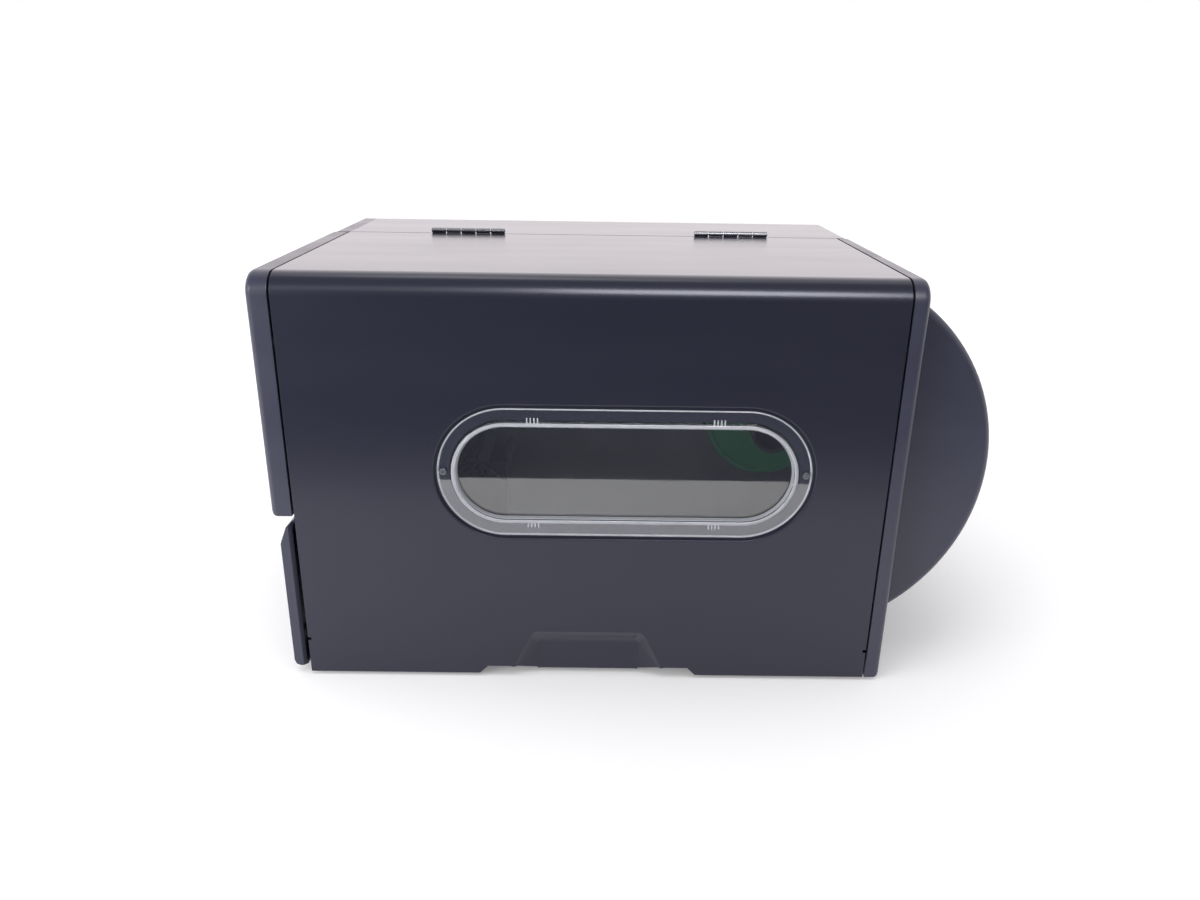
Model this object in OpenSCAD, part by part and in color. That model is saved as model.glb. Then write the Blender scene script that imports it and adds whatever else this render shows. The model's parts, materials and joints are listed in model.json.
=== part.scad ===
// Barcode label printer with a swing-up media door.
// In the modules X runs from the label exit (negative) to the rear, Y from the door face (zero)
// to the far cover and Z up from the table. place() then puts the origin under the middle.

/* [Case] */
// Height of the case top above the table
body_h = 322; // [312:1:340]
// Width from the door face to the far cover
body_w = 335; // [326:1:350]
// Length of the steel door panel
door_l = 444; // [440:1:460]
// Depth of the door from its face to the hinge seam
door_w = 222; // [216:1:228]
// Thickness of the case sheet steel
sheet_t = 1.5; // [1.2:0.1:2]
// Outside radius of the door's bent top edge
edge_r = 16; // [14:1:20]
// Outside radius of the far cover's top edge
far_r = 6; // [5:0.5:9]
// Height of the door's lower edge above the table
floor_gap = 3; // [2.5:0.5:4]
// Dark gap between the door panel and its neighbours
seam_gap = 1.6; // [1.2:0.1:2]
// Length of the moulded front end, door edge to front face
front_cap_l = 17.5; // [15:0.5:20]
// Length of the moulded rear end, door edge to rear face
rear_cap_l = 13.5; // [12:0.5:16]
// Wall of the moulded ends
cap_wall = 3; // [2.5:0.1:3.2]
// Rounding of the moulded ends' outer edges
cap_round = 5; // [4:0.5:6]
// Height of the label exit, lower edge of the moulded front end
exit_z = 139.5; // [136:0.5:143]
// Height of the rubber feet
foot_h = 8; // [7:0.5:9]

/* [Door window] */
// Length of the clear window over its flange
window_l = 278; // [260:1:290]
// Height of the clear window over its flange
window_h = 101; // [95:0.5:110]
// Window centre along the door, from the door's middle
window_x = 26; // [15:0.5:35]
// Window centre above the table
window_z = 176.5; // [170:0.5:185]
// Depth of the pressed step that the flange lies in
recess_d = 2.5; // [2.2:0.1:3]
// Gap between the flange edge and the step
recess_gap = 2.2; // [1:0.2:3]
// Thickness of the clear flange
flange_t = 2; // [1.6:0.1:2.2]
// Flange edge to the middle of the rounded ridge
ridge_in = 12; // [11:0.5:14]
// Width of the rounded ridge
ridge_w = 4.8; // [4:0.2:6]
// Ridge height above the door face
ridge_proud = 1.5; // [1:0.1:1.6]

/* [Finger pocket] */
// Pocket width at its upper edge
pocket_top_l = 88; // [82:1:100]
// Pocket width at the door's lower edge
pocket_low_l = 124; // [112:1:136]
// Width of the pocket's flat floor
pocket_floor_l = 78; // [72:1:80]
// Upper edge of the pocket above the table
pocket_z = 42; // [38:1:50]
// Depth of the pocket
pocket_d = 7; // [6:0.5:8]
// Width of the notch along the door's lower edge
notch_l = 173; // [160:1:190]
// Height of the notch
notch_h = 6.5; // [5:0.5:9]

/* [Hinges] */
// Middle of the front hinge
hinge_front_x = -114; // [-140:1:-90]
// Middle of the rear hinge
hinge_rear_x = 125; // [90:1:140]
// Length of each hinge
hinge_l = 67; // [60:1:76]
// Outside diameter of the hinge knuckles
knuckle_d = 4.4; // [4:0.2:5]
// Diameter of the hinge pins
hinge_pin_d = 2.4; // [2:0.2:2.6]

/* [Roll space] */
// Outside radius of the half-round rear hood
hood_r = 153; // [145:0.5:156]
// Depth of the hood's face behind the door face
hood_y = 26; // [20:1:34]
// Roll centre in front of the rear face
hub_in = 81.5; // [76:0.5:90]
// Roll centre below the case top
hub_down = 146; // [142:1:150]
// Diameter of the roll spindle
spindle_d = 36; // [30:1:38]
// Diameter of the sliding roll guide
retainer_d = 104; // [90:1:112]
// Rest place of the sliding roll guide behind the door face
retainer_y = 140; // [130:1:150]

/* [Print mechanism] */
// Widest label
media_w = 118; // [110:1:122]
// Diameter of the platen roller
platen_d = 20; // [18:0.5:22]
// Diameter of the platen shaft
shaft_d = 8; // [7:0.5:9]
// Thickness of the mechanism plates
plate_t = 3; // [2.5:0.5:4]
// Diameter of the ribbon cores
core_d = 25; // [22:0.5:26]
// Length of the head lever
lever_l = 62; // [50:1:66]

/* [Drive] */
// Gear module
gear_m = 0.8; // [0.75:0.05:0.85]
// Teeth of the motor pinions
pinion_n = 18; // [18:1:20]
// Teeth of the platen gear
platen_n = 54; // [50:1:56]
// Teeth of the ribbon take-up gear
takeup_n = 72; // [68:1:76]

/* [Control panel] */
// Width of each key
key_l = 28; // [24:1:30]
// Height of each key
key_h = 13; // [10:1:14]
// Display width
display_l = 66; // [50:1:70]
// Display height
display_h = 30; // [24:1:34]

/* [Hidden] */
$fn = 72;

// clearances
cut = 1;
run_gap = 0.08;
slip = 0.04;
apart = 0.5;

// case datums
door_x0 = -door_l / 2;
door_x1 = door_l / 2;
front_x = door_x0 - front_cap_l;
rear_x = door_x1 + rear_cap_l;
cap_y = door_w - seam_gap / 2;
cover_y = door_w + seam_gap;
cover_x1 = rear_x - 6;
return_w = 12;
relief_h = 2.5;
relief_zs = [34.3, 28.3];
under_top = body_h - sheet_t;
pan_t = 2;
rim_h = 18;
pan_z = foot_h + pan_t;
pan_x0 = door_x0 + sheet_t + 2 * apart;
pan_x1 = -pan_x0;
pan_x2 = cover_x1 - sheet_t;
pan_y0 = pocket_d + sheet_t + 5;
pan_y1 = body_w - sheet_t;

// hinges
hinge_y = door_w + seam_gap / 2;
hinge_z = body_h + knuckle_d / 2 + apart;
leaf_t = 1.5;
leaf_w = 16;
leaf_z = under_top - leaf_t;
web_near = 0.1;
web_far = seam_gap / 2 - 0.06;
knuckles = 5;
knuckle_l = hinge_l / knuckles;
knuckle_gap = 0.9;
hinge_xs = [hinge_front_x, hinge_rear_x];
fixed_knuckles = [0, 2, 4];
door_knuckles = [1, 3];

// mechanism datums
centre_y = door_w - 5;
centre_back = centre_y + plate_t;
centre_z1 = leaf_z - 0.3;
plate_x0 = pan_x0 + pan_t;
media_y1 = centre_y - 10;
media_y0 = media_y1 - media_w;
side_y = media_y0 - 20;
side_back = side_y + plate_t;
label_z = exit_z - 2;
platen_x = door_x0 + 26;
platen_z = label_z - platen_d / 2;
deck_t = 2;
deck_z = label_z - 0.7;
pivot_x = platen_x + 92;
pivot_z = label_z + 34.5;
carrier_z = pivot_z - 2;
carrier_t = 3;
ear_y0 = media_y0 - 8;
ear_y1 = media_y1 + 2;
latch_x = platen_x + 31;
latch_z = carrier_z + 20;
latch_d = 10;
cam_r = 18.5;
cam_low_r = 5.2;
cam_sweep = 75;
rod_d = 8;
rail_x = platen_x + 118;
rail_z = label_z - 15.5;
takeup_x = platen_x + 36;
takeup_z = body_h - 60;
supply_x = platen_x + 151;
supply_z = body_h - 87;
spool_d = 10;
hub_x = rear_x - hub_in;
hub_z = body_h - hub_down;
hood_wall = 3;
hood_round = 7;
hood_y1 = door_w - 4;
hood_half = sqrt(pow(hood_r - hood_wall, 2) - hub_in * hub_in);

// drive datums
gear_y = centre_back + 5;
gear_t = 8;
bracket_y = gear_y + gear_t + 3;
bracket_t = 2.5;
motor_y = bracket_y + bracket_t;
platen_mesh = -37;
takeup_mesh = -53;
platen_span = gear_m * (platen_n + pinion_n) / 2;
takeup_span = gear_m * (takeup_n + pinion_n) / 2;
drive_x = platen_x + platen_span * cos(platen_mesh);
drive_z = platen_z + platen_span * sin(platen_mesh);
feed_x = takeup_x + takeup_span * cos(takeup_mesh);
feed_z = takeup_z + takeup_span * sin(takeup_mesh);
pinion_shaft_d = 6;
gear_backlash = 0.16;

// window datums
window_r = window_h / 2;
flange_y = recess_d - flange_t;
recess_l = window_l + 2 * (recess_gap + sheet_t);
recess_h = window_h + 2 * (recess_gap + sheet_t);
ledge = 9;
ridge_r = window_r - ridge_in;
pane_t = 2;
pane_y = flange_y + 3.5;
pocket_fall = 11;
screw_in = 4.7;
screw_up = 1;
rib_x = 68;
rib_step = 2.6;

// electronics
foot_w = 16;
board_gap = 8;
board_y = centre_back + board_gap;
board_t = 1.6;
board_l = 250;
board_z0 = 30;
board_h = 126;
supply_l = 170;
supply_h = 96;
supply_gap = 22.5;
supply_y0 = centre_y + foot_w + supply_gap;
supply_y1 = pan_y1 - 10;

// rear connectors
board_face = board_y + board_t;
port_x0 = cover_x1 - 18;
port_x1 = cover_x1 + 1;
serial_z = 122;
usb_z = 86;
network_z = 58;
inlet_y = body_w - 34;
inlet_z = 50;
switch_z = 92;
rocker_tilt = 8;
rocker_pin_d = 3;
rocker_in = 5;

// control panel datums
panel_x = front_x + 2;
panel_y = (cover_y + body_w) / 2;
panel_wall = 3;
display_z = body_h - 58;
light_z = display_z - display_h / 2 - 12;
key_z = light_z - 22;
key_dy = key_l + 8;
key_dz = key_h + 9;

// origin under the middle of the bounding box
origin_x = (front_x + hub_x + hood_r) / 2;
origin_y = (body_w - ridge_proud) / 2;

module place() {
    translate([-origin_x, -origin_y, 0]) children();
}

// shape helpers
module block(lo, hi) {
    translate(lo) cube(hi - lo);
}

module along_x(x0, x1) {
    translate([x0, 0, 0]) rotate([90, 0, 90]) linear_extrude(x1 - x0) children();
}

module along_y(y0, y1) {
    translate([0, y1, 0]) rotate([90, 0, 0]) linear_extrude(y1 - y0) children();
}

module rod_x(x0, x1, y, z, d) {
    translate([x0, y, z]) rotate([0, 90, 0]) cylinder(h = x1 - x0, d = d);
}

module rod_y(y0, y1, x, z, d) {
    translate([x, y0, z]) rotate([-90, 0, 0]) cylinder(h = y1 - y0, d = d);
}

module stadium(l, h) {
    square([l - h, h], center = true);
    for (s = [-1, 1])
        translate([s * (l - h) / 2, 0]) circle(d = h);
}

// rectangle from the origin with its upper left corner rounded
module corner_rect(w, h, r) {
    translate([r, 0]) square([w - r, h]);
    square([w, h - r]);
    translate([r, h - r]) circle(r);
}

module door_outline(z0, inset) {
    translate([inset, z0 + inset])
        corner_rect(cap_y - inset, body_h - z0 - 2 * inset, edge_r - inset);
}

module door_band(width) {
    difference() {
        translate([0, floor_gap]) corner_rect(door_w, body_h - floor_gap, edge_r);
        translate([width, floor_gap - cut])
            corner_rect(door_w, body_h - floor_gap - width + cut, edge_r - width);
    }
}

// fixed side, mirrored so that the rounded corner lies at the far cover
module cover_outline(z0, inset) {
    translate([body_w - inset, z0 + inset]) mirror([1, 0])
        corner_rect(body_w - cover_y - inset, body_h - z0 - 2 * inset, max(0.5, far_r - inset));
}

// involute flank: radius and half-angle of the tooth at that radius
function involute(r, rb) = r <= rb ? 0 : (sqrt(r * r / (rb * rb) - 1) * 180 / PI - acos(rb / r));
function half_tooth(r, n) =
    let (rp = gear_m * n / 2, rb = rp * cos(20))
    90 / n - gear_backlash / 2 / rp * 180 / PI + involute(rp, rb) - involute(r, rb);
function gear_points(n) =
    let (rp = gear_m * n / 2, rb = rp * cos(20), root = rp - 1.25 * gear_m, tip = rp + 0.95 * gear_m)
    [for (i = [0 : n - 1])
        let (a = 360 * i / n)
        each [
            root * [cos(a - half_tooth(rb, n)), sin(a - half_tooth(rb, n))],
            rp * [cos(a - half_tooth(rp, n)), sin(a - half_tooth(rp, n))],
            tip * [cos(a - half_tooth(tip, n)), sin(a - half_tooth(tip, n))],
            tip * [cos(a + half_tooth(tip, n)), sin(a + half_tooth(tip, n))],
            rp * [cos(a + half_tooth(rp, n)), sin(a + half_tooth(rp, n))],
            root * [cos(a + half_tooth(rb, n)), sin(a + half_tooth(rb, n))]
        ]
    ];

module gear(n, x, z, turn) {
    along_y(gear_y, gear_y + gear_t)
        translate([x, z]) rotate(turn) polygon(gear_points(n));
}

// casing

module pan_outline(inset) {
    translate([pan_x0 + inset, pan_y0 + inset])
        square([pan_x1 - pan_x0 - 2 * inset, pan_y1 - pan_y0 - 2 * inset]);
    translate([0, cover_y + 2 + inset])
        square([pan_x2 - inset, pan_y1 - cover_y - 2 - 2 * inset]);
}

module base_pan() {
    color("dimgray")
    difference() {
        translate([0, 0, foot_h]) linear_extrude(rim_h) pan_outline(0);
        translate([0, 0, pan_z]) linear_extrude(rim_h) pan_outline(pan_t);
    }
}

module rubber_feet() {
    color("black")
    for (x = [pan_x0 + 40, pan_x1 - 40], y = [pan_y0 + 30, pan_y1 - 34])
        translate([x, y, 0]) {
            cylinder(h = 2, d1 = 20, d2 = 24);
            translate([0, 0, 2]) cylinder(h = foot_h - 2, d = 24);
        }
}

module centre_plate() {
    color("gray")
    difference() {
        union() {
            block([plate_x0, centre_y, pan_z], [-plate_x0, centre_back, centre_z1]);
            block([plate_x0, centre_y, centre_z1 - plate_t], [-plate_x0, centre_y + 28, centre_z1]);
            block([plate_x0, centre_y, pan_z], [-plate_x0, centre_y + foot_w, pan_z + pan_t]);
        }
        rod_y(centre_y - cut, centre_back + cut, platen_x, platen_z, shaft_d + 6 + 2 * slip);
        rod_y(centre_y - cut, centre_back + cut, latch_x, latch_z, latch_d + 2 * run_gap);
        for (c = [[takeup_x, takeup_z], [supply_x, supply_z]])
            rod_y(centre_y - cut, centre_back + cut, c[0], c[1], spool_d + 8 + 2 * slip);
    }
}

module electronics_cover() {
    color("#2b2c33")
    difference() {
        along_x(door_x0, cover_x1) difference() {
            cover_outline(floor_gap, 0);
            translate([body_w - sheet_t, floor_gap - cut]) mirror([1, 0])
                corner_rect(body_w - cover_y, under_top - floor_gap + cut, far_r - sheet_t);
        }
        for (row = [70, 118], i = [0 : 13])
            along_y(body_w - 2 * sheet_t, body_w + cut)
                translate([cover_x1 - 60 - 9 * i, row]) rotate(90) stadium(36, 4);
        for (c = cover_screw_places())
            rod_y(body_w - 2 * sheet_t, body_w + cut, c[0], c[1], 4.2);
    }
}

function cover_screw_places() = [for (x = [door_x0 + 24, 0, cover_x1 - 24]) [x, foot_h + 8]];

module cover_screws() {
    color("silver")
    for (c = cover_screw_places())
        rod_y(pan_y1, body_w, c[0], c[1], 4);
}

module rear_panel() {
    color("#303138")
    difference() {
        block([pan_x2, cover_y + apart, foot_h], [cover_x1, pan_y1, under_top]);
        cover_corner_cut();
        for (p = [[serial_z, 16, 12.5], [usb_z, 6, 11], [network_z, 8, 13.5]])
            block([pan_x2 - cut, board_face - 0.4, p[0] - p[1] - 0.4],
                [cover_x1 + cut, board_face + p[2] + 0.4, p[0] + p[1] + 0.4]);
        for (p = [[inlet_z, 10], [switch_z, 11]])
            block([pan_x2 - cut, inlet_y - 14.2, p[0] - p[1] - 0.2],
                [cover_x1 + cut, inlet_y + 14.2, p[0] + p[1] + 0.2]);
        for (i = [0 : 8])
            along_x(pan_x2 - cut, cover_x1 + cut) translate([panel_y, 190 + 11 * i])
                stadium(body_w - cover_y - 40, 4);
    }
}

module cover_corner_cut() {
    along_x(pan_x2 - cut, cover_x1 + cut) difference() {
        translate([body_w - far_r, body_h - far_r]) square(far_r);
        translate([body_w - far_r, body_h - far_r]) circle(far_r - sheet_t - 0.1);
    }
}

// front

module control_outline(inset) {
    cover_outline(foot_h, inset);
}

module control_panel() {
    color("#3a3b42")
    difference() {
        hull() {
            for (a = [0, 22.5, 45, 67.5, 90])
                along_x(panel_x + cap_round * (1 - sin(a)), panel_x + cap_round * (1 - sin(a)) + 0.01)
                    control_outline(cap_round * (1 - cos(a)), $fn = 32);
            along_x(door_x0 - 0.01, door_x0) control_outline(0, $fn = 32);
        }
        along_x(panel_x + panel_wall, door_x0 + cut) intersection() {
            control_outline(panel_wall);
            translate([cover_y + panel_wall, 0]) square([body_w, body_h]);
        }
        block([panel_x - cut, panel_y - display_l / 2, display_z - display_h / 2],
            [panel_x + 1.5, panel_y + display_l / 2, display_z + display_h / 2]);
        block([panel_x, panel_y - display_l / 2 + 4, display_z - display_h / 2 + 4],
            [panel_x + panel_wall + cut, panel_y + display_l / 2 - 4, display_z + display_h / 2 - 4]);
        for (c = key_places())
            along_x(panel_x - cut, panel_x + panel_wall + cut) translate(c)
                stadium(key_l + 0.8, key_h + 0.8);
        for (s = [-1, 0, 1])
            rod_x(panel_x - cut, panel_x + panel_wall + cut, panel_y + 18 * s, light_z, 4 + 2 * slip);
    }
}

function key_places() = [for (row = [0, 1], s = [-1, 1])
    [panel_y + s * key_dy / 2, key_z - row * key_dz]];

module display_window() {
    color("darkslategray")
    block([panel_x + 0.2, panel_y - display_l / 2 + 0.2, display_z - display_h / 2 + 0.2],
        [panel_x + 1.5, panel_y + display_l / 2 - 0.2, display_z + display_h / 2 - 0.2]);
}

module status_lights() {
    color("palegreen")
    for (s = [-1, 0, 1])
        rod_x(panel_x - 0.4, panel_x + panel_wall + 1, panel_y + 18 * s, light_z, 4);
}

module key_cap(i) {
    c = key_places()[i];
    color("lightgray") {
        along_x(panel_x - 1.5, panel_x + panel_wall + 1) translate(c) stadium(key_l, key_h);
        along_x(panel_x + panel_wall + 0.4, panel_x + panel_wall + 2) translate(c)
            stadium(key_l + 3, key_h + 3);
    }
}

module lower_front_panel() {
    lower_x = front_x + 4;
    lower_z = foot_h - 1;
    edge_x = door_x0 - 3.5;
    y0 = 2;
    y1 = cap_y;
    wall = 2.5;
    edge_cut = 4.4;
    color("#34353c") {
        difference() {
            along_y(y0, y1) polygon([[edge_x, lower_z], [lower_x + 4.5, lower_z],
                [lower_x + 1.4, lower_z + 1.4], [lower_x, lower_z + 5], [lower_x, exit_z - 24.5],
                [lower_x + 0.5, exit_z - 22.5], [lower_x + 5.4, exit_z - 10],
                [edge_x + 1.5, exit_z - 4], [edge_x + 1.5, exit_z - 7], [edge_x, exit_z - 8.5]]);
            along_y(y0 + wall, y1 - wall) polygon([[door_x0, lower_z + wall],
                [lower_x + 5, lower_z + wall], [lower_x + wall, lower_z + 6],
                [lower_x + wall, exit_z - 24.5], [lower_x + 7.4, exit_z - 12], [door_x0, exit_z - 12]]);
            translate([edge_x, y0, 0]) rotate(45) translate([-edge_cut / 2, -edge_cut / 2, 0])
                cube([edge_cut, edge_cut, exit_z]);
            block([front_x, media_y0 - 4, exit_z - 8], [door_x0 + cut, media_y1 + 2, exit_z]);
        }
        for (y = [44, y1 - 40])
            rod_x(lower_x + 1, pan_x0, y, foot_h + 9, 8);
    }
}

// hinges

function knuckle_x(c, k) = c - hinge_l / 2 + k * knuckle_l;

module hinge_leaves(list, side, bore) {
    near = hinge_y + side * web_near;
    far = hinge_y + side * web_far;
    edge = hinge_y + side * leaf_w;
    for (c = hinge_xs)
        difference() {
            union() {
                block([c - hinge_l / 2, min(near, edge), leaf_z],
                    [c + hinge_l / 2, max(near, edge), under_top]);
                for (k = list) {
                    x0 = knuckle_x(c, k) + knuckle_gap / 2;
                    x1 = knuckle_x(c, k) + knuckle_l - knuckle_gap / 2;
                    rod_x(x0, x1, hinge_y, hinge_z, knuckle_d);
                    block([x0, min(near, far), leaf_z], [x1, max(near, far), hinge_z]);
                }
            }
            rod_x(c - hinge_l, c + hinge_l, hinge_y, hinge_z, bore);
        }
}

module hinge_fixed_leaves() {
    color("#22232a") hinge_leaves(fixed_knuckles, 1, hinge_pin_d + 2 * slip);
}

module hinge_door_leaves() {
    color("#22232a") hinge_leaves(door_knuckles, -1, hinge_pin_d + 2 * run_gap);
}

module hinge_pins() {
    color("silver")
    for (c = hinge_xs)
        rod_x(c - hinge_l / 2, c + hinge_l / 2, hinge_y, hinge_z, hinge_pin_d);
}

// door

// space of the pocket: wide at the door face, narrower at its floor
module pocket_solid(grow, front_y, back_y, low_z) {
    slope = (pocket_low_l - pocket_top_l) / 2 / (pocket_z - floor_gap);
    top_half = pocket_top_l / 2 + grow;
    low_half = top_half + slope * (pocket_z - low_z);
    floor_half = pocket_floor_l / 2 + grow;
    floor_z = pocket_z - pocket_fall + grow;
    hull() {
        along_y(front_y, front_y + 0.01) polygon([[-top_half, pocket_z + grow],
            [top_half, pocket_z + grow], [low_half, low_z], [-low_half, low_z]]);
        along_y(back_y, back_y + 0.01) polygon([[-floor_half, floor_z], [floor_half, floor_z],
            [floor_half, low_z], [-floor_half, low_z]]);
    }
}

// notch in the door's lower edge beside the pocket floor, s is its side
module notch_side(s) {
    half = notch_l / 2;
    inner = pocket_floor_l / 2 + sheet_t;
    z1 = floor_gap + notch_h;
    along_y(-cut, pocket_d + 2 * sheet_t)
        polygon([[s * inner, floor_gap - cut], [s * (half + cut), floor_gap - cut],
            [s * (half - notch_h), z1], [s * pocket_low_l / 2, z1], [s * inner, floor_gap + 2]]);
}

module door_panel() {
    color("#2d2e38")
    difference() {
        union() {
            along_x(door_x0, door_x1) door_band(sheet_t);
            for (i = [0, 1])
                difference() {
                    x = [door_x0, door_x1 - sheet_t][i];
                    along_x(x, x + sheet_t) door_band(return_w);
                    block([x - cut, -cut, 0], [x + 2 * sheet_t, door_w + cut, relief_zs[i]]);
                }
            pocket_solid(sheet_t, 0.1, pocket_d + sheet_t, floor_gap + 1);
            along_y(0, recess_d + sheet_t) translate([window_x, window_z]) stadium(recess_l, recess_h);
        }
        pocket_solid(0, -0.1, pocket_d, -4);
        for (s = [-1, 1])
            notch_side(s);
        translate([window_x, 0, window_z]) {
            along_y(-cut, recess_d) stadium(recess_l - 2 * sheet_t, recess_h - 2 * sheet_t);
            along_y(-cut, recess_d + 2 * sheet_t) stadium(window_l - 2 * ledge, window_h - 2 * ledge);
            for (s = [-1, 1])
                rod_y(0, 2 * recess_d + sheet_t, s * (window_l / 2 - screw_in), screw_up, 2.6);
        }
        for (i = [0, 1])
            block([[door_x0, door_x1][i] - relief_h, -cut, relief_zs[i] - relief_h],
                [[door_x0, door_x1][i] + relief_h, return_w, relief_zs[i]]);
    }
}

module lens_profile() {
    translate([ridge_r - ridge_w / 2, flange_y]) square([window_r - ridge_r + ridge_w / 2, flange_t]);
    translate([ridge_r, ridge_w / 2 - ridge_proud]) circle(d = ridge_w);
    translate([ridge_r - ridge_w / 2, flange_y]) square([ridge_w / 2, pane_y + pane_t - flange_y]);
    translate([0, pane_y]) square([ridge_r, pane_t]);
}

module window_lens() {
    straight = window_l - window_h;
    color("lightsteelblue", 0.4)
    translate([window_x, 0, window_z]) difference() {
        union() {
            for (s = [0, 1])
                rotate([0, 180 * s, 0]) translate([straight / 2, 0, 0])
                    rotate([-90, -90, 0]) rotate_extrude(angle = 180) lens_profile();
            along_x(-straight / 2, straight / 2)
                for (s = [0, 1])
                    mirror([0, s]) mirror([1, -1]) lens_profile();
            for (x = [-rib_x, rib_x], k = [-1.5, -0.5, 0.5, 1.5], s = [-1, 1])
                block([x + rib_step * k - 0.5, flange_y - 0.7, s * (ridge_r + rib_step) - 2.4],
                    [x + rib_step * k + 0.5, flange_y + 0.4, s * (ridge_r + rib_step) + 2.4]);
        }
        for (s = [-1, 1])
            rod_y(-cut, recess_d + cut, s * (window_l / 2 - screw_in), screw_up, 2.6);
    }
}

module window_screws() {
    color("silver")
    for (s = [-1, 1])
        translate([window_x + s * (window_l / 2 - screw_in), 0, window_z + screw_up]) {
            rod_y(flange_y - 1.2, flange_y, 0, 0, 5.4);
            rod_y(flange_y, recess_d + sheet_t + 1.5, 0, 0, 2.5);
        }
}

// moulded end of the door: x_in beside the panel, x_out at its face, z0 its lower edge
module end_shell(x_in, x_out, z0) {
    out = sign(x_out - x_in);
    mouth = x_in - out * cut;
    face = x_out - out * cap_wall;
    difference() {
        hull() {
            for (a = [0, 22.5, 45, 67.5, 90]) {
                x = x_out - out * cap_round * (1 - sin(a));
                along_x(min(x, x - out * 0.01), max(x, x - out * 0.01))
                    door_outline(z0, cap_round * (1 - cos(a)), $fn = 32);
            }
            along_x(min(x_in, x_in + out * 0.01), max(x_in, x_in + out * 0.01))
                door_outline(z0, 0, $fn = 32);
        }
        along_x(min(mouth, face), max(mouth, face)) intersection() {
            door_outline(z0, cap_wall);
            square([cap_y - cap_wall, body_h]);
        }
    }
}

module door_front_cap() {
    color("#3b3c44") {
        end_shell(door_x0 - seam_gap, front_x, exit_z);
        for (p = [[7, exit_z + 40], [7, body_h - 50], [90, body_h - 7], [170, body_h - 7]])
            rod_x(front_x + cap_wall - 0.2, door_x0, p[0], p[1], 6);
    }
}

module door_rear_cap() {
    color("#3b3c44") {
        difference() {
            end_shell(door_x1 + seam_gap, rear_x, floor_gap);
            block([rear_x - cap_wall - cut, hood_y + hood_wall, hub_z - hood_half],
                [rear_x + cut, hood_y1 - hood_wall, hub_z + hood_half]);
        }
        for (p = [[7, 70], [7, body_h / 2], [7, body_h - 50], [90, body_h - 7], [170, body_h - 7]])
            rod_x(door_x1, rear_x - cap_wall + 0.2, p[0], p[1], 6);
    }
}

// half-round drum with rounded rims, r at the rim and y0 to y1 across
module drum(r, y0, y1, rim) {
    rotate([-90, 0, 0]) rotate_extrude() {
        translate([0, y0]) square([r - rim, y1 - y0]);
        translate([0, y0 + rim]) square([r, y1 - y0 - 2 * rim]);
        for (y = [y0 + rim, y1 - rim])
            translate([r - rim, y]) circle(rim);
    }
}

module roll_hood() {
    color("#26272e")
    intersection() {
        translate([hub_x, 0, hub_z]) difference() {
            drum(hood_r, hood_y, hood_y1, hood_round);
            drum(hood_r - hood_wall, hood_y + hood_wall, hood_y1 - hood_wall, hood_round - hood_wall);
        }
        block([rear_x, 0, 0], [rear_x + hood_r, body_w, 2 * body_h]);
    }
}

// print mechanism

module side_plate() {
    color("#55565c")
    difference() {
        union() {
            along_y(side_y, side_back) difference() {
                polygon([[platen_x - 21, pan_z], [rail_x + 9, pan_z],
                    [rail_x + 9, deck_z + 4], [pivot_x + 10, label_z + 24],
                    [pivot_x + 10, pivot_z + 14], [pivot_x - 12, latch_z + 16],
                    [latch_x - 15, latch_z + 16], [platen_x - 21, label_z + 26]]);
                translate([(platen_x + rail_x) / 2 - 2, pan_z + 50]) stadium(96, 46);
            }
            block([platen_x - 21, side_y, pan_z], [rail_x + 9, side_y + 14, pan_z + pan_t]);
        }
        rod_y(side_y - cut, side_back + cut, platen_x, platen_z, shaft_d + 6 + 2 * slip);
        rod_y(side_y - cut, side_back + cut, latch_x, latch_z, latch_d + 2 * run_gap);
    }
}

module tie_rods() {
    color("silver")
    for (p = [[(platen_x + rail_x) / 2 + 7, label_z - 30], [pivot_x - 12, latch_z + 7]])
        rod_y(side_back, centre_y, p[0], p[1], rod_d);
}

module media_deck() {
    x0 = platen_x + platen_d / 2 + 4;
    x1 = rail_x - 22;
    color("gainsboro")
    along_y(side_back, centre_y)
        polygon([[x0, deck_z - deck_t], [x0, deck_z], [x1, deck_z], [x1 + 8, deck_z - 6],
            [x1 + 7, deck_z - 7.6], [x1 - 0.8, deck_z - deck_t]]);
}

module tear_bar() {
    color("silver")
    along_y(side_back, centre_y) polygon([[platen_x - 23, label_z - 10], [platen_x - 12.5, label_z - 10],
        [platen_x - 12.5, label_z - 6], [platen_x - 21, label_z - 0.4], [platen_x - 23, label_z - 0.4]]);
}

module bush(x, z, y0, y1, flange_y0, bore, wall) {
    difference() {
        union() {
            rod_y(y0, y1, x, z, bore + 2 * wall);
            rod_y(flange_y0, flange_y0 + 1.5, x, z, bore + 2 * wall + 4);
        }
        rod_y(y0 - cut, y1 + cut, x, z, bore + 2 * run_gap);
    }
}

module platen_bearings() {
    color("tan") {
        bush(platen_x, platen_z, side_y - 1.5, side_back, side_y - 1.5, shaft_d, 3);
        bush(platen_x, platen_z, centre_y, centre_back + 1.5, centre_back, shaft_d, 3);
    }
}

module spindle_bearings() {
    color("tan")
    for (c = [[takeup_x, takeup_z], [supply_x, supply_z]])
        bush(c[0], c[1], centre_y - 1.5, centre_back + 2, centre_y - 1.5, spool_d, 4);
}

module guide_rail() {
    color("silver") rod_y(side_back, centre_y, rail_x, rail_z, rod_d);
}

module head_pivot_shaft() {
    color("silver") rod_y(side_back, centre_y, pivot_x, pivot_z, shaft_d);
}

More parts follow.
